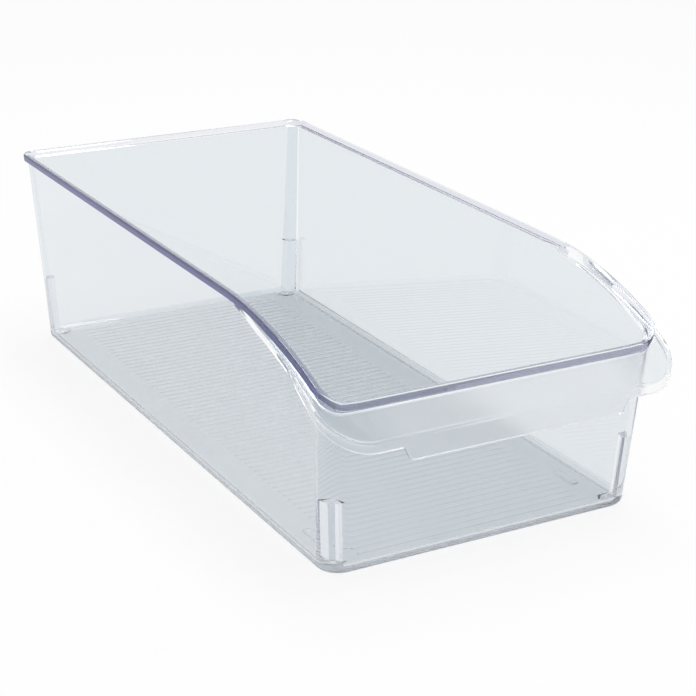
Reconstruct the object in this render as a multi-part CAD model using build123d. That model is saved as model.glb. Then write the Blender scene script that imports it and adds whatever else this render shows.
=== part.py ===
from build123d import *
import math
import os

# Envelope of the bin: X runs left to right, the front faces -Y, the base stands on Z = 0
rim_width = 151.6
rim_length = 307.6
bin_height = 92.0
front_drop = 21.2

# Moulded walls, leaning outwards as they rise
wall_thickness = 2.0
floor_thickness = 2.0
wall_lean = 4.8
base_corner_radius = 9.5
top_corner_radius = 6.5
base_edge_radius = 2.6
floor_fillet_radius = 3.2

# Bead round the top edge
rim_reach = 1.9
rim_depth = 3.2

# Swept fall of the side walls, measured back from the front face of the rim
sweep_start_setback = 81.0
sweep_end_setback = 3.0
sweep_foot_radius = 6.0
sweep_crest_angle = 20.0
sweep_foot_angle = 50.0

# Sloping visor of the pull handle
visor_reach = 13.6
visor_side_reach = 2.6
visor_corner_radius = 18.0
visor_thickness = 2.0
visor_step = 2.2
visor_start_setback = 70.0
visor_full_setback = 48.0

# Down-turned skirt of the visor and the deeper grip tab at its middle
skirt_thickness = 1.8
skirt_depth = 4.5
skirt_start_setback = 22.0
tab_depth = 10.0
tab_top_width = 103.0
tab_bottom_width = 93.0
tab_corner_radius = 3.5

# Stacking posts in the four inside corners
post_size = 5.4
post_height = 30.0
post_edge_radius = 1.6

# Fine ribs across the floor, set in from the outside of the base
rib_count = 63
rib_width = 1.8
rib_crest_width = 0.8
rib_height = 0.25
rib_side_inset = 18.1
rib_end_inset = 9.8

# Low oval pads beside the ribs, towards the front
pad_length = 15.0
pad_width = 3.2
pad_height = 0.6
pad_side_inset = 11.6
pad_setback = 36.0

# Extra length that carries cutting solids past the faces they cut
overrun = 6.0

top_width = rim_width - 2 * rim_reach
top_length = rim_length - 2 * rim_reach
base_width = top_width - 2 * wall_lean
base_length = top_length - 2 * wall_lean
rim_front = -rim_length / 2
visor_front = rim_front - visor_reach
visor_half_width = rim_width / 2 + visor_side_reach
corner_x = base_width / 2 - base_corner_radius
corner_y = base_length / 2 - base_corner_radius
far_x = visor_half_width + overrun
far_y = rim_length / 2 + visor_reach + overrun

sweep_start_y = rim_front + sweep_start_setback
sweep_end_y = rim_front + sweep_end_setback
crest_angle = math.radians(sweep_crest_angle)
foot_angle = math.radians(sweep_foot_angle)
crest_run_share = math.sin(crest_angle)
crest_fall_share = 1 - math.cos(crest_angle)
shoulder_run_share = math.sin(foot_angle) - math.sin(crest_angle)
shoulder_fall_share = math.cos(crest_angle) - math.cos(foot_angle)
arched_run = sweep_start_y - sweep_end_y - sweep_foot_radius * math.sin(foot_angle)
arched_fall = front_drop - sweep_foot_radius * (1 - math.cos(foot_angle))
arch_share = crest_run_share * shoulder_fall_share - shoulder_run_share * crest_fall_share
crest_radius = (arched_run * shoulder_fall_share - arched_fall * shoulder_run_share) / arch_share
shoulder_radius = (arched_fall * crest_run_share - arched_run * crest_fall_share) / arch_share

visor_angle = 2 * math.atan(front_drop / sweep_start_setback)
visor_radius = sweep_start_setback / math.sin(visor_angle)
visor_level = bin_height - visor_step
visor_root = visor_level - front_drop

rib_length = base_width - 2 * rib_side_inset
rib_field = base_length - 2 * rib_end_inset
rib_pitch = (rib_field - rib_width) / (rib_count - 1)
pad_x = base_width / 2 - pad_side_inset


def tub_section(height, inset):
    """Rounded outline of the tub at one height, drawn in from its outside face."""
    rise_share = height / bin_height
    width = base_width + 2 * wall_lean * rise_share - 2 * inset
    length = base_length + 2 * wall_lean * rise_share - 2 * inset
    radius = base_corner_radius + (top_corner_radius - base_corner_radius) * rise_share - inset
    return Pos(0, 0, height) * RectangleRounded(width, length, radius)


def tub_block(low, high, inset):
    """Solid block with the tub's leaning sides, between two heights."""
    return loft([tub_section(low, inset), tub_section(high, inset)], ruled=True)


def side_prism(edges):
    """Prism across the whole width, below a chain of edges drawn in the side view."""
    chain = Curve() + edges
    start = edges[0] @ 0
    end = edges[-1] @ 1
    floor_start = (start.X, -overrun)
    floor_end = (end.X, -overrun)
    skirting = [Line(end, floor_end), Line(floor_end, floor_start), Line(floor_start, start)]
    outline = make_face(chain + skirting)
    return extrude(Plane.YZ * outline, amount=visor_half_width + overrun, both=True)


def below_rim(drop):
    """Everything below the top edge of the rim, lowered by drop."""
    level = bin_height - drop
    back = Line((rim_length / 2 + overrun, level), (sweep_start_y, level))
    crest = JernArc(back @ 1, back % 1, crest_radius, sweep_crest_angle)
    shoulder = JernArc(crest @ 1, crest % 1, shoulder_radius, sweep_foot_angle - sweep_crest_angle)
    foot = JernArc(shoulder @ 1, shoulder % 1, sweep_foot_radius, -sweep_foot_angle)
    front = Line(foot @ 1, (visor_front - overrun, (foot @ 1).Y))
    return side_prism([back, crest, shoulder, foot, front])


def visor_height(y):
    """Height of the visor surface: one long arch down to the rim, then straight on."""
    if y < rim_front:
        return visor_root - (rim_front - y) * math.tan(visor_angle)
    return visor_level - visor_radius + math.sqrt(visor_radius**2 - (sweep_start_y - y) ** 2)


def below_visor(drop):
    """Everything below the visor surface, lowered by drop."""
    level = visor_level - drop
    far_front = visor_front - overrun
    back = Line((rim_length / 2 + overrun, level), (sweep_start_y, level))
    arch = JernArc(back @ 1, back % 1, visor_radius, math.degrees(visor_angle))
    slope = Line(arch @ 1, (far_front, visor_height(far_front) - drop))
    return side_prism([back, arch, slope])


def below_skirt_edge():
    """Everything below the lower edge of the skirt, which thins out up the sides."""
    low = (visor_front, visor_height(visor_front) - skirt_depth)
    start_y = rim_front + skirt_start_setback
    high = (start_y, visor_height(start_y) - visor_thickness)
    fall = (low[1] - high[1]) / (low[0] - high[0])
    ahead = (visor_front - overrun, low[1] - fall * overrun)
    behind = (rim_length / 2 + overrun, high[1])
    return side_prism([Line(behind, high), Line(high, ahead)])


def visor_plan(inset):
    """Upright prism inside the visor's outline, drawn in from its outer edge."""
    half = visor_half_width - inset
    front = visor_front + inset
    radius = visor_corner_radius - inset
    start_y = rim_front + visor_start_setback
    full_y = rim_front + visor_full_setback
    half_start = rim_width / 2 - inset
    start = (half_start, start_y)
    full = (half, full_y)
    turn = (half, front + radius)
    tip = (half - radius, front)
    edges = []
    for side in (1, -1):
        edges.append(Line((side * start[0], start[1]), (side * full[0], full[1])))
        edges.append(Line((side * full[0], full[1]), (side * turn[0], turn[1])))
        edges.append(RadiusArc((side * turn[0], turn[1]), (side * tip[0], tip[1]), side * radius))
    edges.append(Line((tip[0], tip[1]), (-tip[0], tip[1])))
    edges.append(Line((start[0], start[1]), (-start[0], start[1])))
    return extrude(make_face(Curve() + edges), amount=bin_height)


def zone(x_low, x_high, y_low, y_high):
    """Upright block that picks out one part of the plan view at every height."""
    block = Box(x_high - x_low, y_high - y_low, bin_height + 2 * overrun, align=Align.MIN)
    return Pos(x_low, y_low, -overrun) * block


def below_level(height):
    """Upright block that holds everything below one height."""
    block = Box(2 * far_x, 2 * far_y, height + overrun, align=(Align.CENTER, Align.CENTER, Align.MAX))
    return Pos(0, 0, height) * block


def post_section(height):
    """Outline of one stacking post at one height, set off from the leaning inner wall faces."""
    lean = wall_lean * height / bin_height
    inner_x = base_width / 2 + lean - wall_thickness - post_size
    inner_y = base_length / 2 + lean - wall_thickness - post_size
    outline = Pos(inner_x, inner_y) * Rectangle(far_x - inner_x, far_y - inner_y, align=Align.MIN)
    edge = outline.vertices().sort_by_distance((0, 0, 0))[0]
    return Pos(0, 0, height) * fillet(edge, post_edge_radius)


def mirrored(shapes, about):
    """Shapes together with their mirror images."""
    return shapes + [mirror(shape, about=about) for shape in shapes]


def pieces(shapes):
    """All the solids of one or more shapes, as one flat list."""
    return [solid for shape in shapes for solid in shape.solids()]


def write_node(name, shapes):
    """Store one node's solids under its name."""
    solids = pieces(shapes)
    stored = solids[0] if len(solids) == 1 else Compound(solids)
    stored.label = name
    export_step(stored, os.path.join("parts", name + ".step"))


middle_front = zone(-corner_x, corner_x, -far_y, -corner_y)
middle_back = zone(-corner_x, corner_x, corner_y, far_y)
middle_left = zone(-far_x, -corner_x, -corner_y, corner_y)
middle_right = zone(corner_x, far_x, -corner_y, corner_y)
corner_zones = [
    zone(-far_x, -corner_x, -far_y, -corner_y),
    zone(corner_x, far_x, -far_y, -corner_y),
    zone(-far_x, -corner_x, corner_y, far_y),
    zone(corner_x, far_x, corner_y, far_y),
]

outer_block = tub_block(0, bin_height, 0)
outer_block = fillet(outer_block.edges().group_by(Axis.Z)[0], base_edge_radius)
cavity = tub_block(floor_thickness, bin_height + overrun, wall_thickness)
cavity = fillet(cavity.edges().group_by(Axis.Z)[0], floor_fillet_radius)
tub = outer_block - cavity

floor_plate = tub & below_level(floor_thickness)
walls = (tub - below_level(floor_thickness)) & below_rim(rim_depth)

rim_block = tub_block(0, bin_height, -rim_reach) - cavity
rim = (rim_block & below_rim(0)) - below_rim(rim_depth)

visor = (visor_plan(0) & below_visor(0)) - below_visor(visor_thickness)
visor = visor - tub_block(0, bin_height, 0) - rim

skirt_ring = visor_plan(0) - visor_plan(skirt_thickness)
skirt = (skirt_ring & below_visor(visor_thickness)) - below_skirt_edge()
skirt = skirt & zone(-far_x, far_x, -far_y, rim_front + skirt_start_setback)
skirt = skirt - tub_block(0, bin_height, 0) - rim

tab_top = visor_height(visor_front)
tab_low = tab_top - tab_depth
tab_outline = Polygon(
    (-tab_top_width / 2, tab_top),
    (-tab_bottom_width / 2, tab_low),
    (tab_bottom_width / 2, tab_low),
    (tab_top_width / 2, tab_top),
    align=None,
)
tab_outline = fillet(tab_outline.vertices().group_by(Axis.Y)[0], tab_corner_radius)
tab_prism = extrude(Plane.XZ * tab_outline, amount=far_y)
grip_tab = (tab_prism & skirt_ring & below_skirt_edge()) & zone(-far_x, far_x, -far_y, rim_front)

post = loft([post_section(floor_thickness), post_section(post_height)], ruled=True) & cavity
posts = mirrored(mirrored([post], Plane.YZ), Plane.XZ)

rib_outline = Polygon(
    (-rib_width / 2, floor_thickness),
    (rib_width / 2, floor_thickness),
    (rib_crest_width / 2, floor_thickness + rib_height),
    (-rib_crest_width / 2, floor_thickness + rib_height),
    align=None,
)
rib = extrude(Plane.YZ * rib_outline, amount=rib_length / 2, both=True)
rib_offsets = [(index - (rib_count - 1) / 2) * rib_pitch for index in range(rib_count)]
ribs = [Pos(0, offset, 0) * rib for offset in rib_offsets]

pad = extrude(SlotOverall(pad_length, pad_width, rotation=90), amount=pad_height)
pad_y = rim_front + pad_setback
pads = mirrored([Pos(pad_x, pad_y, floor_thickness) * pad], Plane.YZ)

visor_corner_x = visor_half_width - visor_corner_radius
visor_corner_y = visor_front + visor_corner_radius
handle_middle = zone(-visor_corner_x, visor_corner_x, -far_y, 0)
handle_corners = mirrored([zone(visor_corner_x, far_x, -far_y, visor_corner_y)], Plane.YZ)
handle_sides = mirrored([zone(visor_corner_x, far_x, visor_corner_y, 0)], Plane.YZ)

os.makedirs("parts", exist_ok=True)
write_node("floor_plate", [floor_plate])
write_node("floor_ribs", ribs)
write_node("floor_pads", pads)
write_node("corner_posts", posts)
write_node("wall_front", [walls & middle_front])
write_node("wall_back", [walls & middle_back])
write_node("wall_left", [walls & middle_left])
write_node("wall_right", [walls & middle_right])
write_node("wall_corners", [walls & corner for corner in corner_zones])
write_node("rim_front", [rim & middle_front])
write_node("rim_back", [rim & middle_back])
write_node("rim_left", [rim & middle_left])
write_node("rim_right", [rim & middle_right])
write_node("rim_corners", [rim & corner for corner in corner_zones])
write_node("visor_front", [visor & handle_middle])
write_node("visor_corners", [visor & corner for corner in handle_corners])
write_node("visor_sides", [visor & side for side in handle_sides])
write_node("skirt_front", [skirt & handle_middle])
write_node("skirt_corners", [skirt & corner for corner in handle_corners])
write_node("skirt_sides", [skirt & side for side in handle_sides])
write_node("grip_tab", [grip_tab])
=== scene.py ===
import bmesh
import bpy
import math
from mathutils import Euler, Matrix, Vector


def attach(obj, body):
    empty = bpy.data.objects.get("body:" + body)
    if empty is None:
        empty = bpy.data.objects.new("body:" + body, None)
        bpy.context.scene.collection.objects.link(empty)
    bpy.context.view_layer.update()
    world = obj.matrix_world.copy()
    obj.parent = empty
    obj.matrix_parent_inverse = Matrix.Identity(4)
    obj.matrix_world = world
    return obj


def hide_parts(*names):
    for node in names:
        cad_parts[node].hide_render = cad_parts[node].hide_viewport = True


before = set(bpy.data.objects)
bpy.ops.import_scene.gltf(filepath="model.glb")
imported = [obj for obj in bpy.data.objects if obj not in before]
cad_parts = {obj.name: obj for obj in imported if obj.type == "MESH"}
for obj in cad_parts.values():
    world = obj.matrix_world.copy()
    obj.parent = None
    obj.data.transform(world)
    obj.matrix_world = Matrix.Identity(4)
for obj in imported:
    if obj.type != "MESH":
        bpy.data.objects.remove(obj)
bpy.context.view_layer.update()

# Sizes in metres: X runs left to right, the front faces -Y, the base stands on Z = 0
RIM_HALF_LENGTH = 0.1538
BASE_HALF_WIDTH = 0.0691
BASE_HALF_LENGTH = 0.1471
BIN_HEIGHT = 0.0920
WALL = 0.0020
FLOOR = 0.0020
WALL_LEAN = 0.0048
BASE_CORNER_RADIUS = 0.0095
TOP_CORNER_RADIUS = 0.0065
BASE_EDGE_RADIUS = 0.0026
FLOOR_FILLET_RADIUS = 0.0032
END_REACH = 0.0593

RIM_REACH = 0.0019
RIM_DEPTH = 0.0032
RIM_EDGE_RADIUS = 0.0005
RIM_INNER_RADIUS = 0.0024
RIM_OUTER_RADIUS = 0.0009
RIM_ROOT_RADIUS = 0.0006

FRONT_DROP = 0.0212
SWEEP_START_SETBACK = 0.0810
SWEEP_LENGTH = 0.0847
SWEEP_FOOT_RADIUS = 0.0100
CREST_ANGLE = math.radians(21)
FOOT_ANGLE = math.radians(43)

VISOR_REACH = 0.0136
VISOR_HALF_WIDTH = 0.0775
VISOR_CORNER_RADIUS = 0.0180
VISOR_THICKNESS = 0.0020
VISOR_STEP = 0.0022
VISOR_START_SETBACK = 0.0700
VISOR_FULL_SETBACK = 0.0480
VISOR_EDGE_RADIUS = 0.0012
VISOR_ROOT_RADIUS = 0.0016
VISOR_ROOT_DIP = 0.0014

SKIRT_THICKNESS = 0.0018
SKIRT_DEPTH = 0.0045
SKIRT_START_SETBACK = 0.0220
SKIRT_EDGE_RADIUS = 0.0005
TAB_DEPTH = 0.0100
TAB_TOP_HALF_WIDTH = 0.0515
TAB_BOTTOM_HALF_WIDTH = 0.0465
TAB_CORNER_RADIUS = 0.0035
TAB_FALL_LEAD = 0.0010
TAB_FALL_RUN_OUT = 0.0045

POST_SIZE = 0.0054
POST_HEIGHT = 0.0300
POST_EDGE_RADIUS = 0.0016

RIB_COUNT = 63
RIB_PITCH = 0.0044
RIB_WIDTH = 0.0018
RIB_CREST_WIDTH = 0.0008
RIB_HEIGHT = 0.00016
RIB_HALF_LENGTH = 0.0510

PAD_HALF_LENGTH = 0.0075
PAD_INNER_X = 0.0559
PAD_OUTER_X = 0.0591
PAD_HEIGHT = 0.0006
PAD_SETBACK = 0.0360

# Half width, half length, corner radius and half straight end of the rings on the flat of the floor
FLOOR_RINGS = (
    (RIB_HALF_LENGTH, 0.1381, 0.0006, 0.0502),
    (PAD_INNER_X, 0.1393, 0.0015, 0.0540),
    (PAD_OUTER_X, 0.1402, 0.0020, 0.0565),
)

# Most that a rounding may take of the handle's section, so that it stays sound where the wings thin out
SKIRT_LIMIT_SHARE = 0.6
EDGE_LIMIT_SHARE = 0.4
HEM_LIMIT_SHARE = 0.25
BEND_LIMIT_SHARE = 0.3
FOLD_LIMIT_SHARE = 0.5

# Places on the handle's eased corners and root, as shares of their radius or of the wall
EASE_SHARE = 0.3
ROOT_DROP_SHARE = 1.2
ROOT_SINK_SHARE = 0.2

RIM_FRONT_Y = -RIM_HALF_LENGTH
VISOR_FRONT_Y = RIM_FRONT_Y - VISOR_REACH
VISOR_TURN_X = VISOR_HALF_WIDTH - VISOR_CORNER_RADIUS
VISOR_TURN_Y = VISOR_FRONT_Y + VISOR_CORNER_RADIUS
SWEEP_START_Y = RIM_FRONT_Y + SWEEP_START_SETBACK
SWEEP_END_Y = SWEEP_START_Y - SWEEP_LENGTH
CREST_RUN = math.sin(CREST_ANGLE)
CREST_FALL = 1 - math.cos(CREST_ANGLE)
SHOULDER_RUN = math.sin(FOOT_ANGLE) - math.sin(CREST_ANGLE)
SHOULDER_FALL = math.cos(CREST_ANGLE) - math.cos(FOOT_ANGLE)
ARCHED_RUN = SWEEP_LENGTH - SWEEP_FOOT_RADIUS * math.sin(FOOT_ANGLE)
ARCHED_FALL = FRONT_DROP - SWEEP_FOOT_RADIUS * (1 - math.cos(FOOT_ANGLE))
ARCH = CREST_RUN * SHOULDER_FALL - SHOULDER_RUN * CREST_FALL
CREST_RADIUS = (ARCHED_RUN * SHOULDER_FALL - ARCHED_FALL * SHOULDER_RUN) / ARCH
SHOULDER_RADIUS = (ARCHED_FALL * CREST_RUN - ARCHED_RUN * CREST_FALL) / ARCH
CREST_END_Y = SWEEP_START_Y - CREST_RADIUS * CREST_RUN
SHOULDER_END_Y = CREST_END_Y - SHOULDER_RADIUS * SHOULDER_RUN
SHOULDER_CENTRE_Y = CREST_END_Y + SHOULDER_RADIUS * math.sin(CREST_ANGLE)
SHOULDER_CENTRE_Z = BIN_HEIGHT - CREST_RADIUS * CREST_FALL - SHOULDER_RADIUS * math.cos(CREST_ANGLE)
VISOR_ANGLE = 2 * math.atan(FRONT_DROP / SWEEP_START_SETBACK)
VISOR_RADIUS = SWEEP_START_SETBACK / math.sin(VISOR_ANGLE)

# Steps in the mesh, and what counts as a double, a sliver or a sharp edge in it
CORNER_STEPS = 8
END_STEPS = 24
LEAD_STEPS = 4
ROUND_STEPS = 6
WING_STEPS = 30
VISOR_LEAD_STEPS = 3
TAB_OUTER_STEPS = 4
TAB_FALL_STEPS = 20
TAB_MIDDLE_STEPS = 6
SETTLE_ROUNDS = 4
MERGE_DISTANCE = 1e-6
JOIN_MERGE_DISTANCE = 2e-6
SLIVER_LENGTH = 1e-7
JOIN_SLIVER_LENGTH = 1e-6
SHARP_ANGLE = math.radians(20)
EVEN_SHADING_WEIGHT = 90

# How far a face's normal points up, or to one side, where the face counts as upright, round, level or turned
UPRIGHT_RISE = 0.5
ROUND_RISE = 0.95
LEVEL_RISE = 0.9
SLANT_RISE = 0.3
CORNER_TURN = 0.1

# Shares of the plastic's painted shade and matt finish on the faces that show them
PAINTED_FRONT_VIOLET_SHARE = 0.5
PAINTED_SKIN_SHADE_SHARE = 0.7
BACK_CORNER_PAINTED_SHADE_SHARE = 1.0
SIDE_CORNER_PAINTED_SHADE_SHARE = 0.28
FILLET_PAINTED_SHADOW_SHARE = 0.5
HANDLE_MATT_SHARE = 0.4

# Finish and painted shade of the plastic; a grain is a scale and a stretch along the bin
PLASTIC_IOR = 1.55
CLEAR_TINT = (0.985, 0.989, 0.992, 1)
# Painted violet shade on the bead, where light is piped along it, darkest on the long sides
PAINTED_SIDE_VIOLET = (0.011, 0.012, 0.09, 1)
PAINTED_FRONT_VIOLET = (0.2, 0.208, 0.31, 1)
# Painted shade on light that leaves through the outer skin, the base and the undersides of the wings
PAINTED_SKIN_SHADE = (0.52, 0.605, 0.66, 1)
# Painted shade where light leaves through the bead
PAINTED_BEAD_SHADE = (0.55, 0.56, 0.66, 1)
# Painted shadow on the bin's floor, for the shade on the table under it
PAINTED_FLOOR_SHADOW = (0.72, 0.785, 0.83, 1)
BODY_TINT = (0.2, 0.25, 0.6, 1)
BODY_DENSITY = 4.0
MATT_ROUGHNESS = 0.5
GLOSS_ROUGHNESS = (0.01, 0.03)
GLOSS_GRAIN = (70, 0.4)
FLOW_GRAIN = (45, 0.3)
FLOW_DEPTH = 0.00002

# Studio, with the strengths at which its white is seen and lights the bin
PAPER_COLOUR = (0.9, 0.9, 0.9, 1)
PAPER_ROUGHNESS = (0.8, 0.95)
PAPER_ROUGH_GRAIN = (400, 1.0)
PAPER_GRAIN = (900, 1.0)
PAPER_GRAIN_DEPTH = 0.0001
PAPER_REACH = 4.0
PAPER_GAP = 0.0004
PAPER_GLOW_SHARE = 0.85
BUMP_STRENGTH = 0.2
GRAIN_DETAIL = 3.0
GRAIN_LOW, GRAIN_HIGH = 0.3, 0.7
WHITE = (1, 1, 1, 1)
SEEN_WHITE = 1.0
SOFT_LIGHT = 0.75
SOFTBOX_SIZE = (1.1, 0.35)
SOFTBOX_POWER = 5.0
SOFTBOX_PLACE = (0.2, 0.0, 1.1)
LIGHT_BOUNCES = 96
CAMERA_PLACE = (-0.3565, -0.6750, 0.3191)
CAMERA_TURN = (math.radians(69.2172), math.radians(-0.5336), math.radians(-28.9991))
CAMERA_FIELD = math.radians(21.3955)
CAMERA_SENSOR = 36.0


def quarter_turns(steps=ROUND_STEPS):
    """Sine and cosine at even steps through a quarter turn."""
    turns = [step / steps * math.pi / 2 for step in range(steps + 1)]
    return [(math.sin(turn), math.cos(turn)) for turn in turns]


def arch_height(y, top, radius):
    """Height of a level line that starts to fall in an arch where the sweep begins."""
    ahead = max(0.0, SWEEP_START_Y - y)
    return top - radius + math.sqrt(radius ** 2 - ahead ** 2)


def rim_height(y):
    """Height of the rim's top edge, with the edge unrolled: level, crest, tighter shoulder, hollow foot."""
    if y >= CREST_END_Y:
        return arch_height(y, BIN_HEIGHT, CREST_RADIUS)
    if y >= SHOULDER_END_Y:
        return SHOULDER_CENTRE_Z + math.sqrt(SHOULDER_RADIUS ** 2 - (SHOULDER_CENTRE_Y - y) ** 2)
    behind = max(0.0, y - SWEEP_END_Y)
    level = BIN_HEIGHT - FRONT_DROP
    return level + SWEEP_FOOT_RADIUS - math.sqrt(SWEEP_FOOT_RADIUS ** 2 - behind ** 2)


def visor_height(y):
    """Height of the visor's upper face: one long arch down to the front of the rim, then straight on."""
    level = BIN_HEIGHT - VISOR_STEP
    if y >= RIM_FRONT_Y:
        return arch_height(y, level, VISOR_RADIUS)
    return level - FRONT_DROP - (RIM_FRONT_Y - y) * math.tan(VISOR_ANGLE)


def tub_outline(height, inset):
    """Half width, half length and corner radius of the tub at one height, drawn in by inset."""
    share = height / BIN_HEIGHT
    radius = BASE_CORNER_RADIUS + (TOP_CORNER_RADIUS - BASE_CORNER_RADIUS) * share - inset
    lean = WALL_LEAN * share - inset
    return BASE_HALF_WIDTH + lean, BASE_HALF_LENGTH + lean, radius


def outline_distance(x, y, outline):
    """Distance of a plan position from a rounded rectangle, negative inside it."""
    half_width, half_length, radius = outline
    off_x = abs(x) - half_width + radius
    off_y = abs(y) - half_length + radius
    return math.hypot(max(off_x, 0), max(off_y, 0)) + min(max(off_x, off_y), 0) - radius


def rib_edges():
    """Lengthwise places of the two lower edges of every rib, from front to back."""
    middle = (RIB_COUNT - 1) / 2
    places = []
    for index in range(RIB_COUNT):
        centre = (index - middle) * RIB_PITCH
        places.append(centre - RIB_WIDTH / 2)
        places.append(centre + RIB_WIDTH / 2)
    return places


def ring_stations():
    """Stations once round the bin, anticlockwise from the front of the right side."""
    along = rib_edges()
    shares = [step / CORNER_STEPS for step in range(CORNER_STEPS + 1)]
    leads = [step / LEAD_STEPS for step in range(1, LEAD_STEPS)]
    across = [2 * step / END_STEPS - 1 for step in range(END_STEPS + 1)]
    stations = [("side", 1, y) for y in along]
    stations += [("lead", (1, 1), share) for share in leads]
    stations += [("corner", (1, 1), share) for share in shares]
    stations += [("end", 1, -x) for x in across]
    stations += [("corner", (-1, 1), 1 - share) for share in shares]
    stations += [("lead", (-1, 1), 1 - share) for share in leads]
    stations += [("side", -1, y) for y in reversed(along)]
    stations += [("lead", (-1, -1), share) for share in leads]
    stations += [("corner", (-1, -1), share) for share in shares]
    stations += [("end", -1, x) for x in across]
    stations += [("corner", (1, -1), 1 - share) for share in shares]
    stations += [("lead", (1, -1), 1 - share) for share in leads]
    return stations


STATIONS = ring_stations()


def lead_place(station, half_width, corner_y):
    """Plan position of one station between the last rib and the start of a corner."""
    kind, side, value = station
    last_y = rib_edges()[-1]
    return side[0] * half_width, side[1] * (last_y + (corner_y - last_y) * value)


def rounded_place(station, outline, end_reach):
    """Plan position of one station on a rounded rectangle."""
    half_width, half_length, radius = outline
    kind, side, value = station
    if kind == "side":
        return side * half_width, value
    if kind == "end":
        return value * end_reach, side * half_length
    if kind == "lead":
        return lead_place(station, half_width, half_length - radius)
    turn = value * math.pi / 2
    x = half_width - radius + radius * math.cos(turn)
    y = half_length - radius + radius * math.sin(turn)
    return side[0] * x, side[1] * y


def unrolled_place(station, outline):
    """Lengthwise place of one station along the unrolled edge, which counts on round the corners."""
    half_width, half_length, radius = outline
    kind, side, value = station
    corner_y = half_length - radius
    if kind == "side":
        return value
    if kind == "lead":
        return lead_place(station, half_width, corner_y)[1]
    if kind == "corner":
        return side[1] * (corner_y + radius * value * math.pi / 2)
    return side * (corner_y + radius * math.pi / 2 + half_width - radius - abs(value) * END_REACH)


def post_place(station, outline, end_reach):
    """Plan position of one station where the corners step in round the stacking posts."""
    kind, side, value = station
    post_x = outline[0] - POST_SIZE
    post_y = outline[1] - POST_SIZE
    if kind == "lead":
        return lead_place(station, outline[0], post_y)
    if kind != "corner":
        return rounded_place(station, outline, end_reach)
    step = round(value * CORNER_STEPS)
    if step == 0:
        x, y = outline[0], post_y
    elif step == CORNER_STEPS:
        x, y = post_x, outline[1]
    else:
        turn = (step - 1) / (CORNER_STEPS - 2) * math.pi / 2
        x = post_x + POST_EDGE_RADIUS * (1 - math.sin(turn))
        y = post_y + POST_EDGE_RADIUS * (1 - math.cos(turn))
    return side[0] * x, side[1] * y


def level_ring(height, inset, place=rounded_place):
    """Points of a level ring on the tub's walls."""
    outline = tub_outline(height, inset)
    return [Vector((*place(station, outline, END_REACH), height)) for station in STATIONS]


def floor_ring(half_width, half_length, radius, end_reach):
    """Points of a ring on the flat of the floor, inside the wall's fillet."""
    outline = (half_width, half_length, radius)
    return [Vector((*rounded_place(station, outline, end_reach), FLOOR)) for station in STATIONS]


def rim_ring(drop, inset):
    """Points of a ring that follows the falling top edge, lowered by drop."""
    points = []
    for station in STATIONS:
        top = BIN_HEIGHT
        for _ in range(SETTLE_ROUNDS):
            top = rim_height(unrolled_place(station, tub_outline(top, 0)))
        x, y = rounded_place(station, tub_outline(top - drop, inset), END_REACH)
        points.append(Vector((x, y, top - drop)))
    return points


def first_ring(bm, points):
    """Closed ring of edges through the points."""
    ring = bmesh.ops.create_circle(bm, cap_ends=False, segments=len(points), radius=BASE_HALF_WIDTH)["verts"]
    for vert, point in zip(ring, points):
        vert.co = point
    return list(ring)


def ring_edges(bm, ring):
    """Edges that join the neighbours of a closed ring."""
    return [bm.edges.get((ring[index - 1], ring[index])) for index in range(len(ring))]


def next_ring(bm, ring, points):
    """Carries a ring on by one band of faces, and moves its new edge to the points."""
    made = bmesh.ops.extrude_edge_only(bm, edges=ring_edges(bm, ring))["geom"]
    fresh = {part for part in made if isinstance(part, bmesh.types.BMVert)}
    carried = []
    for vert, point in zip(ring, points):
        others = [edge.other_vert(vert) for edge in vert.link_edges]
        twin = next(other for other in others if other in fresh)
        twin.co = point
        carried.append(twin)
    return carried


def fill_ribbed_floor(bm, ring):
    """Closes the floor inside its first ring with strips across, and raises every second one as a rib."""
    count = 2 * RIB_COUNT
    right = ring[:count]
    left_start = STATIONS.index(("side", -1, rib_edges()[-1]))
    left = ring[left_start:left_start + count]
    right_chain = [bm.edges.get(pair) for pair in zip(right, right[1:])]
    left_chain = [bm.edges.get(pair) for pair in zip(left, left[1:])]
    strips = bmesh.ops.bridge_loops(bm, edges=right_chain + left_chain)["faces"]
    back = ring[count - 1:left_start + 1]
    front = ring[left_start + count - 1:] + ring[:1]
    bmesh.ops.contextual_create(bm, geom=back)
    bmesh.ops.contextual_create(bm, geom=front)
    ribs = [face for face in strips if round(face.calc_center_median().y / RIB_PITCH * 2) % 2 == 0]
    narrow = Vector(((RIB_HALF_LENGTH - RIB_HEIGHT) / RIB_HALF_LENGTH, RIB_CREST_WIDTH / RIB_WIDTH, 1))
    for rib in bmesh.ops.extrude_discrete_faces(bm, faces=ribs)["faces"]:
        centre = rib.calc_center_median()
        bmesh.ops.scale(bm, vec=narrow, verts=rib.verts, space=Matrix.Translation(-centre))
        bmesh.ops.translate(bm, vec=(0, 0, RIB_HEIGHT), verts=rib.verts)


def raise_pads(bm):
    """Raises the two low pads, here with square ends, between the ribs and the side walls."""
    pad_y = RIM_FRONT_Y + PAD_SETBACK
    middle_x = (PAD_INNER_X + PAD_OUTER_X) / 2
    reach_x = PAD_OUTER_X - PAD_INNER_X
    for side in (1, -1):
        centre = Vector((side * middle_x, pad_y, FLOOR))
        faces = []
        for face in bm.faces:
            offset = face.calc_center_median() - centre
            on_floor = abs(offset.z) < WALL / 10
            if on_floor and abs(offset.x) < reach_x / 4 and abs(offset.y) < PAD_HALF_LENGTH:
                faces.append(face)
        made = bmesh.ops.extrude_face_region(bm, geom=faces)["geom"]
        bmesh.ops.delete(bm, geom=faces, context="FACES_ONLY")
        top = [part for part in made if isinstance(part, bmesh.types.BMVert)]
        bmesh.ops.translate(bm, vec=(0, 0, PAD_HEIGHT), verts=top)


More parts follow.
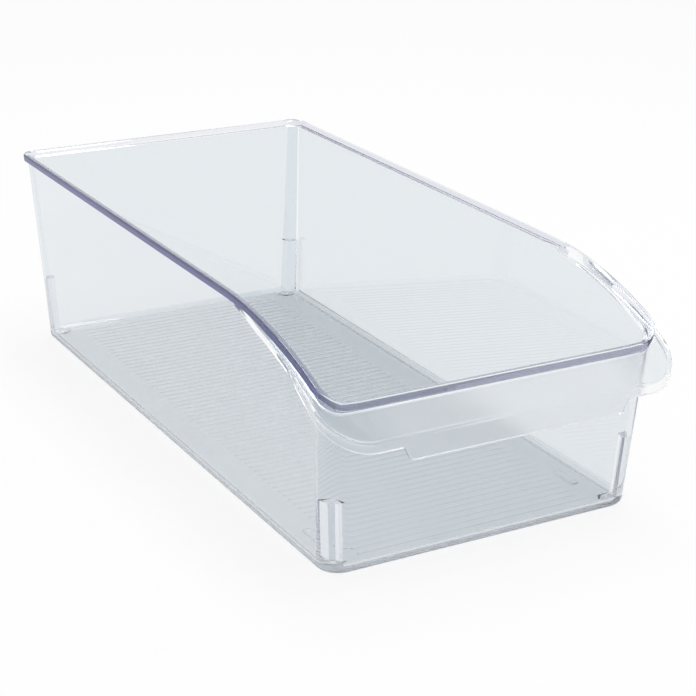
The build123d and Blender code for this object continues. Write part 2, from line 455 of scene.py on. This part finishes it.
def rim_profile():
    """Drop and inset of the rings round the bead, from its rounded inner edge to the root under it."""
    rows = []
    for sine, cosine in quarter_turns(2 * ROUND_STEPS):
        rows.append((RIM_INNER_RADIUS * (1 - sine), WALL - RIM_INNER_RADIUS * (1 - cosine)))
    for sine, cosine in quarter_turns():
        rows.append((RIM_OUTER_RADIUS * (1 - cosine), RIM_OUTER_RADIUS * (1 - sine) - RIM_REACH))
    for sine, cosine in quarter_turns():
        rows.append((RIM_DEPTH - RIM_EDGE_RADIUS * (1 - sine), RIM_EDGE_RADIUS * (1 - cosine) - RIM_REACH))
    for sine, cosine in quarter_turns():
        rows.append((RIM_DEPTH + RIM_ROOT_RADIUS * (1 - cosine), RIM_ROOT_RADIUS * (sine - 1)))
    return rows


def close_up(bm):
    """Merges doubles and turns every face outwards."""
    bmesh.ops.remove_doubles(bm, verts=bm.verts, dist=MERGE_DISTANCE)
    bmesh.ops.dissolve_degenerate(bm, edges=bm.edges, dist=SLIVER_LENGTH)
    bmesh.ops.recalc_face_normals(bm, faces=bm.faces)


def make_tub():
    """Tub with its floor, ribs, pads, posts, walls and rim, as one closed skin."""
    bm = bmesh.new()
    inmost, *others = [floor_ring(*sizes) for sizes in FLOOR_RINGS]
    ring = first_ring(bm, inmost)
    fill_ribbed_floor(bm, ring)
    for points in others:
        ring = next_ring(bm, ring, points)
    for sine, cosine in quarter_turns():
        inset = WALL + FLOOR_FILLET_RADIUS * (1 - sine)
        height = FLOOR + FLOOR_FILLET_RADIUS * (1 - cosine)
        ring = next_ring(bm, ring, level_ring(height, inset, post_place))
    ring = next_ring(bm, ring, level_ring(POST_HEIGHT, WALL, post_place))
    ring = next_ring(bm, ring, level_ring(POST_HEIGHT, WALL))
    for drop, inset in rim_profile():
        ring = next_ring(bm, ring, rim_ring(drop, inset))
    for sine, cosine in quarter_turns():
        height = BASE_EDGE_RADIUS * (1 - sine)
        ring = next_ring(bm, ring, level_ring(height, BASE_EDGE_RADIUS * (1 - cosine)))
    bmesh.ops.contextual_create(bm, geom=ring)
    raise_pads(bm)
    close_up(bm)
    return bm


def skirt_low_edge(y):
    """Height of the skirt's lower edge, which thins out up the sides."""
    start_y = RIM_FRONT_Y + SKIRT_START_SETBACK
    low = visor_height(VISOR_FRONT_Y) - SKIRT_DEPTH
    high = visor_height(start_y) - VISOR_THICKNESS
    return low + (high - low) * (y - VISOR_FRONT_Y) / (start_y - VISOR_FRONT_Y)


def tab_low_edge(x, skirt_low):
    """Height of the lower edge across the front: the skirt, and the deeper tab at its middle."""
    reach = abs(x)
    top = visor_height(VISOR_FRONT_Y)
    low = top - TAB_DEPTH
    fall = (top - low) / (TAB_TOP_HALF_WIDTH - TAB_BOTTOM_HALF_WIDTH)
    lean = math.atan(fall)
    centre_z = low + TAB_CORNER_RADIUS
    centre_x = TAB_BOTTOM_HALF_WIDTH - TAB_CORNER_RADIUS * math.tan(lean / 2)
    touch_x = centre_x + TAB_CORNER_RADIUS * math.sin(lean)
    if reach <= centre_x:
        return low
    if reach <= touch_x:
        return centre_z - math.sqrt(TAB_CORNER_RADIUS ** 2 - (reach - centre_x) ** 2)
    return min(skirt_low, low + (reach - TAB_BOTTOM_HALF_WIDTH) * fall)


def wing_stations(pivot):
    """Edge points of the right wing, which comes out of the bead, with the wall stations behind them."""
    start = RIM_FRONT_Y + VISOR_START_SETBACK
    full = RIM_FRONT_Y + VISOR_FULL_SETBACK
    hidden_reach = tub_outline(visor_height(start), -RIM_REACH)[0] - RIM_EDGE_RADIUS
    stations = []
    for step in range(WING_STEPS + 1):
        y = start + (pivot.y - start) * step / WING_STEPS
        share = min(1.0, (start - y) / (start - full))
        reach = hidden_reach + (VISOR_HALF_WIDTH - hidden_reach) * share
        stations.append((Vector((reach, y)), ("side", 1, y)))
    return stations


def visor_corner_stations(pivot):
    """Edge points round the visor's right corner, with the wall stations that they face."""
    points = []
    for step in range(1, VISOR_LEAD_STEPS):
        y = pivot.y + (VISOR_TURN_Y - pivot.y) * step / VISOR_LEAD_STEPS
        points.append(Vector((VISOR_HALF_WIDTH, y)))
    for sine, cosine in quarter_turns(2 * CORNER_STEPS):
        x = VISOR_TURN_X + VISOR_CORNER_RADIUS * cosine
        points.append(Vector((x, VISOR_TURN_Y - VISOR_CORNER_RADIUS * sine)))
    bearings = [math.atan2(pivot.y - point.y, point.x - pivot.x) for point in points]
    return [
        (point, ("corner", (1, -1), bearing / bearings[-1]))
        for point, bearing in zip(points, bearings)
    ]


def visor_front_stations():
    """Edge points of the visor's right front half, close together where the tab's side falls."""
    fall_start = TAB_TOP_HALF_WIDTH - TAB_FALL_LEAD
    fall_end = TAB_BOTTOM_HALF_WIDTH - TAB_FALL_RUN_OUT
    stretches = (
        (VISOR_TURN_X, fall_start, TAB_OUTER_STEPS),
        (fall_start, fall_end, TAB_FALL_STEPS),
        (fall_end, 0.0, TAB_MIDDLE_STEPS),
    )
    stations = []
    for high, low, steps in stretches:
        for step in range(1, steps + 1):
            x = high + (low - high) * step / steps
            stations.append((Vector((x, VISOR_FRONT_Y)), ("end", -1, x / END_REACH)))
    return stations


def opposite(station):
    """The same station on the left of the bin."""
    kind, side, value = station
    if kind == "end":
        return kind, side, -value
    if kind == "corner":
        return kind, (-side[0], side[1]), value
    return kind, -side, value


def handle_stations():
    """Edge points of the handle with the wall stations behind them, from the right wing to the left one."""
    half_width, half_length, radius = tub_outline(visor_height(RIM_FRONT_Y), 0)
    pivot = Vector((half_width - radius, radius - half_length))
    right = wing_stations(pivot) + visor_corner_stations(pivot) + visor_front_stations()
    left = []
    for point, station in reversed(right):
        if point.x > 0:
            left.append((Vector((-point.x, point.y)), opposite(station)))
    return right + left


def visor_edge_rows(upper, radius):
    """Reach and height round the upper outer edge of the visor."""
    rows = []
    for sine, cosine in quarter_turns():
        reach = radius * (1 - sine)
        rows.append((reach, upper(reach) - radius * (1 - cosine)))
    return rows


def hem_rows(skin, low, hem, inner_hem):
    """Reach and height round the skirt's lower edge, with both of its corners eased."""
    return [
        (0.0, low + hem),
        (EASE_SHARE * hem, low + EASE_SHARE * hem),
        (hem, low),
        (skin - hem, low),
        (skin - EASE_SHARE * hem, low + EASE_SHARE * inner_hem),
        (skin, low + inner_hem),
    ]


def underside_rows(lower, skin, bend, clear, foot):
    """Reach and height from the back of the skirt along under the visor to its root in the wall."""
    depth = clear + WALL / 2
    return [
        (skin, lower(skin) - bend),
        (skin + EASE_SHARE * bend, lower(skin) - EASE_SHARE * bend),
        (skin + bend, lower(skin + bend)),
        (clear - foot, lower(clear - foot)),
        (clear - EASE_SHARE * foot, lower(clear) - EASE_SHARE * foot),
        (clear + ROOT_SINK_SHARE * WALL, lower(clear) - ROOT_DROP_SHARE * foot),
        (depth, lower(depth) - ROOT_DROP_SHARE * foot),
    ]


def wall_root(point, station):
    """Plan position inside the wall where the handle is rooted behind an edge point."""
    root = point
    for _ in range(2):
        root = Vector(rounded_place(station, tub_outline(visor_height(root.y), WALL / 2), END_REACH))
    return root


def handle_section(point, station):
    """Points round the cut face of the handle at one station, from the wall out over the visor and back."""
    inward = wall_root(point, station) - point
    depth = inward.length
    inward.normalize()
    clear = depth - WALL / 2
    kind, side, value = station
    dip = VISOR_ROOT_DIP * {"side": 0.0, "corner": value, "end": 1.0}[kind]

    def upper(reach):
        return visor_height(point.y + inward.y * reach) - dip * reach / (clear - RIM_REACH)

    def lower(reach):
        return upper(reach) - VISOR_THICKNESS

    skin = min(SKIRT_THICKNESS, SKIRT_LIMIT_SHARE * clear)
    low = min(skirt_low_edge(point.y), lower(0), lower(skin))
    if kind == "end":
        low = tab_low_edge(point.x, low)
    hang = max(0.0, lower(skin) - low)
    hem = min(SKIRT_EDGE_RADIUS, HEM_LIMIT_SHARE * skin)
    bend = min(hem, BEND_LIMIT_SHARE * (clear - skin), FOLD_LIMIT_SHARE * hang)
    foot = min(VISOR_ROOT_RADIUS, FOLD_LIMIT_SHARE * (clear - skin - bend))
    rows = [(depth, upper(depth))]
    rows += visor_edge_rows(upper, min(VISOR_EDGE_RADIUS, EDGE_LIMIT_SHARE * clear))
    rows += hem_rows(skin, low, hem, min(hem, FOLD_LIMIT_SHARE * hang))
    rows += underside_rows(lower, skin, bend, clear, foot)
    return [Vector((*(point + inward * reach), height)) for reach, height in rows]


def make_handle():
    """Visor with its skirt and grip tab, as one closed skin that ends inside the walls."""
    bm = bmesh.new()
    sections = [handle_section(point, station) for point, station in handle_stations()]
    ring = first_ring(bm, sections[0])
    bmesh.ops.contextual_create(bm, geom=ring)
    for section in sections[1:]:
        ring = next_ring(bm, ring, section)
    bmesh.ops.contextual_create(bm, geom=ring)
    close_up(bm)
    return bm


def new_piece(name, bm):
    """Object that holds a finished bmesh."""
    mesh = bpy.data.meshes.new(name)
    bm.to_mesh(mesh)
    bm.free()
    piece = bpy.data.objects.new(name, mesh)
    bpy.context.scene.collection.objects.link(piece)
    return piece


def fuse(name, body, addition):
    """Joins two closed skins into one moulding."""
    join = body.modifiers.new("join", "BOOLEAN")
    join.operation = "UNION"
    join.solver = "MANIFOLD"
    join.object = addition
    shown = body.evaluated_get(bpy.context.evaluated_depsgraph_get())
    bm = bmesh.new()
    bm.from_mesh(shown.data)
    for piece in (body, addition):
        bpy.data.objects.remove(piece)
    bmesh.ops.remove_doubles(bm, verts=bm.verts, dist=JOIN_MERGE_DISTANCE)
    bmesh.ops.dissolve_degenerate(bm, edges=bm.edges, dist=JOIN_SLIVER_LENGTH)
    bmesh.ops.recalc_face_normals(bm, faces=bm.faces)
    for face in bm.faces:
        face.smooth = True
    moulding = new_piece(name, bm)
    moulding.data.set_sharp_from_angle(angle=SHARP_ANGLE)
    even = moulding.modifiers.new("even_shading", "WEIGHTED_NORMAL")
    even.mode = "FACE_AREA"
    even.weight = EVEN_SHADING_WEIGHT
    even.keep_sharp = True
    return moulding


def on_base(face):
    """Whether a face is on the underside of the base or its rounded edge."""
    return face.normal.z < -SLANT_RISE and face.center.z < BASE_EDGE_RADIUS


def painted_bead_violet_share(face, outside):
    """Share of painted violet shade on the bead's outer face, standing in for light piped along the bead,
    most on the long sides.
    """
    across, along, rise = (abs(part) for part in face.normal)
    on_lip = rise < UPRIGHT_RISE and abs(outside - RIM_REACH) < RIM_EDGE_RADIUS / 3
    on_round = across > along and rise < ROUND_RISE and 0 < RIM_REACH - outside < RIM_OUTER_RADIUS
    above_front = face.center.z > BIN_HEIGHT - FRONT_DROP - RIM_DEPTH
    if above_front and (on_lip or on_round):
        return PAINTED_FRONT_VIOLET_SHARE + (1 - PAINTED_FRONT_VIOLET_SHARE) * across
    return 0.0


def painted_skin_shade_share(face, outside):
    """Share of painted shade on light that leaves through the outer skin, most where a back corner turns."""
    across, along, rise = (abs(part) for part in face.normal)
    on_wall = rise < UPRIGHT_RISE and abs(outside) < RIM_EDGE_RADIUS / 2
    if on_wall and across < 2 * along:
        return BACK_CORNER_PAINTED_SHADE_SHARE if across > CORNER_TURN and face.center.y > 0 else PAINTED_SKIN_SHADE_SHARE
    if on_wall:
        return SIDE_CORNER_PAINTED_SHADE_SHARE if along > CORNER_TURN else PAINTED_SKIN_SHADE_SHARE
    if on_base(face):
        return PAINTED_SKIN_SHADE_SHARE
    if face.normal.z < -UPRIGHT_RISE and outside > 0 and face.center.z > POST_HEIGHT:
        wing_shade_share = (abs(face.center.x) - TAB_BOTTOM_HALF_WIDTH) / VISOR_CORNER_RADIUS
        return PAINTED_SKIN_SHADE_SHARE * min(1.0, max(0.0, wing_shade_share))
    return 0.0


def painted_floor_shadow_share(face, outside):
    """Share of the floor's painted shadow, whole on its flat and less up the fillet inside the walls."""
    if face.normal.z <= SLANT_RISE or face.center.z >= FLOOR + FLOOR_FILLET_RADIUS:
        return 0.0
    among_ribs = abs(face.center.x) < RIB_HALF_LENGTH
    return 1.0 if among_ribs or face.normal.z > LEVEL_RISE else FILLET_PAINTED_SHADOW_SHARE


def matt_share(face, outside):
    """Share of the matt finish: whole under the base, a little on the inside of the handle."""
    turned_in = face.normal.x * face.center.x + face.normal.y * face.center.y < 0
    if on_base(face):
        return 1.0
    if outside > RIM_REACH + RIM_EDGE_RADIUS / 2 and (face.normal.z < -SLANT_RISE or turned_in):
        return HANDLE_MATT_SHARE
    return 0.0


def mark_faces(piece):
    """Stores the shares of every face as attributes that the material reads."""
    shares = {
        # Painted bead shade, painted skin shade and painted floor shadow, then the matt finish
        "painted_bead_violet": painted_bead_violet_share,
        "painted_skin_shade": painted_skin_shade_share,
        "painted_floor_shadow": painted_floor_shadow_share,
        "matt_share": matt_share,
    }
    faces = []
    for face in piece.data.polygons:
        x, y, z = face.center
        faces.append((face, outline_distance(x, y, tub_outline(z, 0))))
    for name, share in shares.items():
        stored = piece.data.attributes.new(name, "FLOAT", "FACE")
        stored.data.foreach_set("value", [share(face, outside) for face, outside in faces])


def make_grain_group():
    """Node group of soft noise in the piece's own coordinates, plain and spread between two limits."""
    group = bpy.data.node_groups.new("surface_grain", "ShaderNodeTree")
    for name in ("Scale", "Stretch", "Low", "High"):
        group.interface.new_socket(name=name, in_out="INPUT", socket_type="NodeSocketFloat")
    for name in ("Height", "Roughness"):
        group.interface.new_socket(name=name, in_out="OUTPUT", socket_type="NodeSocketFloat")
    given = group.nodes.new("NodeGroupInput")
    result = group.nodes.new("NodeGroupOutput")
    place = group.nodes.new("ShaderNodeTexCoord")
    flow = group.nodes.new("ShaderNodeCombineXYZ")
    flow.inputs["X"].default_value = 1.0
    flow.inputs["Z"].default_value = 1.0
    along = group.nodes.new("ShaderNodeMapping")
    cloud = group.nodes.new("ShaderNodeTexNoise")
    cloud.inputs["Detail"].default_value = GRAIN_DETAIL
    spread = group.nodes.new("ShaderNodeMapRange")
    spread.inputs["From Min"].default_value = GRAIN_LOW
    spread.inputs["From Max"].default_value = GRAIN_HIGH
    group.links.new(given.outputs["Stretch"], flow.inputs["Y"])
    group.links.new(flow.outputs["Vector"], along.inputs["Scale"])
    group.links.new(place.outputs["Object"], along.inputs["Vector"])
    group.links.new(along.outputs["Vector"], cloud.inputs["Vector"])
    group.links.new(given.outputs["Scale"], cloud.inputs["Scale"])
    group.links.new(cloud.outputs["Fac"], spread.inputs["Value"])
    group.links.new(given.outputs["Low"], spread.inputs["To Min"])
    group.links.new(given.outputs["High"], spread.inputs["To Max"])
    group.links.new(cloud.outputs["Fac"], result.inputs["Height"])
    group.links.new(spread.outputs["Result"], result.inputs["Roughness"])


def add_grain(tree, grain):
    """Places the grain group with its own scale and stretch along the bin."""
    node = tree.nodes.new("ShaderNodeGroup")
    node.node_tree = bpy.data.node_groups["surface_grain"]
    node.inputs["Scale"].default_value, node.inputs["Stretch"].default_value = grain
    return node


def grain_roughness(tree, grain, limits):
    """Roughness that wanders between two limits."""
    node = add_grain(tree, grain)
    node.inputs["Low"].default_value, node.inputs["High"].default_value = limits
    return node.outputs["Roughness"]


def grain_bump(tree, grain, depth):
    """Normal of a surface with faint uneven heights."""
    bump = tree.nodes.new("ShaderNodeBump")
    bump.inputs["Distance"].default_value = depth
    bump.inputs["Strength"].default_value = BUMP_STRENGTH
    tree.links.new(add_grain(tree, grain).outputs["Height"], bump.inputs["Height"])
    return bump.outputs["Normal"]


def math_node(tree, operation, first, second):
    """Result of one operation on two values in a node tree; each is a socket or a number."""
    node = tree.nodes.new("ShaderNodeMath")
    node.operation = operation
    for socket, value in zip(node.inputs, (first, second)):
        if isinstance(value, bpy.types.NodeSocket):
            tree.links.new(value, socket)
        else:
            socket.default_value = value
    return node.outputs["Value"]


def stored_share(tree, name):
    """Share that is stored on the faces under one name."""
    stored = tree.nodes.new("ShaderNodeAttribute")
    stored.attribute_name = name
    return stored.outputs["Fac"]


def blend(tree, share, colour, other):
    """Blends a colour from a socket into a plain one by a share."""
    mix = tree.nodes.new("ShaderNodeMix")
    mix.data_type = "RGBA"
    mix.inputs["B"].default_value = other
    tree.links.new(share, mix.inputs["Factor"])
    tree.links.new(colour, mix.inputs["A"])
    return mix.outputs["Result"]


def plastic_colour_with_painted_shade(tree):
    """Clear, with painted violet shade where light enters the bead, painted shade where it leaves, and a
    painted shadow on the floor.
    """
    leaving = tree.nodes.new("ShaderNodeNewGeometry").outputs["Backfacing"]
    entering = math_node(tree, "SUBTRACT", 1.0, leaving)
    # Painted violet shade on the bead where light enters it
    painted_violet_ramp = tree.nodes.new("ShaderNodeValToRGB")
    painted_violet_ramp.color_ramp.elements[0].color = CLEAR_TINT
    painted_violet_ramp.color_ramp.elements[1].color = PAINTED_SIDE_VIOLET
    painted_violet_ramp.color_ramp.elements.new(PAINTED_FRONT_VIOLET_SHARE).color = PAINTED_FRONT_VIOLET
    painted_bead_violet = stored_share(tree, "painted_bead_violet")
    tree.links.new(math_node(tree, "MULTIPLY", painted_bead_violet, entering), painted_violet_ramp.inputs["Fac"])
    # Painted shade where light leaves through the outer skin
    painted_skin_shade_mask = math_node(tree, "MULTIPLY", stored_share(tree, "painted_skin_shade"), leaving)
    colour = blend(tree, painted_skin_shade_mask, painted_violet_ramp.outputs["Color"], PAINTED_SKIN_SHADE)
    # Painted shade on the bead where light leaves it
    colour = blend(tree, math_node(tree, "MULTIPLY", painted_bead_violet, leaving), colour, PAINTED_BEAD_SHADE)
    # Painted shadow on the bin's floor
    return blend(tree, stored_share(tree, "painted_floor_shadow"), colour, PAINTED_FLOOR_SHADOW)


def clear_plastic():
    """Water-clear plastic, with painted violet shade where the bead's outer face pipes light out, painted
    shade where light leaves, a painted shadow on the floor, and faint flow marks.
    """
    material = bpy.data.materials.new("clear_plastic")
    material.use_nodes = True
    tree = material.node_tree
    shader = tree.nodes["Principled BSDF"]
    shader.inputs["IOR"].default_value = PLASTIC_IOR
    shader.inputs["Transmission Weight"].default_value = 1.0
    tree.links.new(plastic_colour_with_painted_shade(tree), shader.inputs["Base Color"])
    matt = math_node(tree, "MULTIPLY", stored_share(tree, "matt_share"), MATT_ROUGHNESS)
    gloss = grain_roughness(tree, GLOSS_GRAIN, GLOSS_ROUGHNESS)
    tree.links.new(math_node(tree, "MAXIMUM", matt, gloss), shader.inputs["Roughness"])
    tree.links.new(grain_bump(tree, FLOW_GRAIN, FLOW_DEPTH), shader.inputs["Normal"])
    body = tree.nodes.new("ShaderNodeVolumeAbsorption")
    body.inputs["Color"].default_value = BODY_TINT
    body.inputs["Density"].default_value = BODY_DENSITY
    tree.links.new(body.outputs["Volume"], tree.nodes["Material Output"].inputs["Volume"])
    return material


def seen_rays(tree):
    """1 for rays from the camera and for rays that the plastic bends or mirrors, else 0."""
    path = tree.nodes.new("ShaderNodeLightPath")
    bent = math_node(tree, "MAXIMUM", path.outputs["Is Glossy Ray"], path.outputs["Is Transmission Ray"])
    return math_node(tree, "MAXIMUM", path.outputs["Is Camera Ray"], bent)


def floor_paper():
    """White paper with a fine grain, which the rays that are seen find almost white."""
    material = bpy.data.materials.new("floor_paper")
    material.use_nodes = True
    tree = material.node_tree
    shader = tree.nodes["Principled BSDF"]
    shader.inputs["Specular IOR Level"].default_value = 0.0
    shader.inputs["Base Color"].default_value = PAPER_COLOUR
    tree.links.new(grain_roughness(tree, PAPER_ROUGH_GRAIN, PAPER_ROUGHNESS), shader.inputs["Roughness"])
    tree.links.new(grain_bump(tree, PAPER_GRAIN, PAPER_GRAIN_DEPTH), shader.inputs["Normal"])
    glow = tree.nodes.new("ShaderNodeEmission")
    glow.inputs["Strength"].default_value = SEEN_WHITE
    mix = tree.nodes.new("ShaderNodeMixShader")
    tree.links.new(math_node(tree, "MULTIPLY", seen_rays(tree), PAPER_GLOW_SHARE), mix.inputs["Fac"])
    tree.links.new(shader.outputs["BSDF"], mix.inputs[1])
    tree.links.new(glow.outputs["Emission"], mix.inputs[2])
    tree.links.new(mix.outputs["Shader"], tree.nodes["Material Output"].inputs["Surface"])
    return material


def make_floor():
    """Plain white paper floor, which keeps a faint shadow."""
    bm = bmesh.new()
    bmesh.ops.create_grid(bm, x_segments=1, y_segments=1, size=PAPER_REACH)
    bmesh.ops.translate(bm, vec=(0, 0, -PAPER_GAP), verts=bm.verts)
    floor = new_piece("studio_floor", bm)
    floor.data.materials.append(floor_paper())


def make_surroundings():
    """White surroundings, which light the bin a little less than they show."""
    world = bpy.data.worlds.new("studio")
    bpy.context.scene.world = world
    world.use_nodes = True
    tree = world.node_tree
    seen = tree.nodes["Background"]
    seen.inputs["Color"].default_value = WHITE
    seen.inputs["Strength"].default_value = SEEN_WHITE
    soft = tree.nodes.new("ShaderNodeBackground")
    soft.inputs["Color"].default_value = WHITE
    soft.inputs["Strength"].default_value = SOFT_LIGHT
    mix = tree.nodes.new("ShaderNodeMixShader")
    tree.links.new(seen_rays(tree), mix.inputs["Fac"])
    tree.links.new(soft.outputs["Background"], mix.inputs[1])
    tree.links.new(seen.outputs["Background"], mix.inputs[2])
    tree.links.new(mix.outputs["Shader"], tree.nodes["World Output"].inputs["Surface"])


def make_softbox():
    """One large soft lamp overhead."""
    lamp = bpy.data.lights.new("softbox", "AREA")
    lamp.shape = "RECTANGLE"
    lamp.size, lamp.size_y = SOFTBOX_SIZE
    lamp.energy = SOFTBOX_POWER
    softbox = bpy.data.objects.new("softbox", lamp)
    softbox.location = SOFTBOX_PLACE
    softbox.rotation_euler = (-softbox.location).to_track_quat("-Z", "Y").to_euler()
    bpy.context.scene.collection.objects.link(softbox)


def make_camera():
    """Camera at the viewing angle of the photograph."""
    data = bpy.data.cameras.new("camera")
    data.sensor_width = CAMERA_SENSOR
    data.angle = CAMERA_FIELD
    camera = bpy.data.objects.new("camera", data)
    camera.location = CAMERA_PLACE
    camera.rotation_euler = Euler(CAMERA_TURN)
    bpy.context.scene.collection.objects.link(camera)
    bpy.context.scene.camera = camera


def make_bin():
    """The whole bin as one clear moulding, in place of all its CAD regions."""
    moulding = fuse("bin_moulding", new_piece("tub", make_tub()), new_piece("handle", make_handle()))
    mark_faces(moulding)
    moulding.data.materials.append(clear_plastic())
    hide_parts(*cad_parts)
    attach(moulding, "root")


scene = bpy.context.scene
scene.view_settings.view_transform = "Standard"
scene.cycles.max_bounces = LIGHT_BOUNCES
scene.cycles.transmission_bounces = LIGHT_BOUNCES
scene.cycles.glossy_bounces = LIGHT_BOUNCES
make_grain_group()
make_camera()
make_floor()
make_surroundings()
make_softbox()
make_bin()
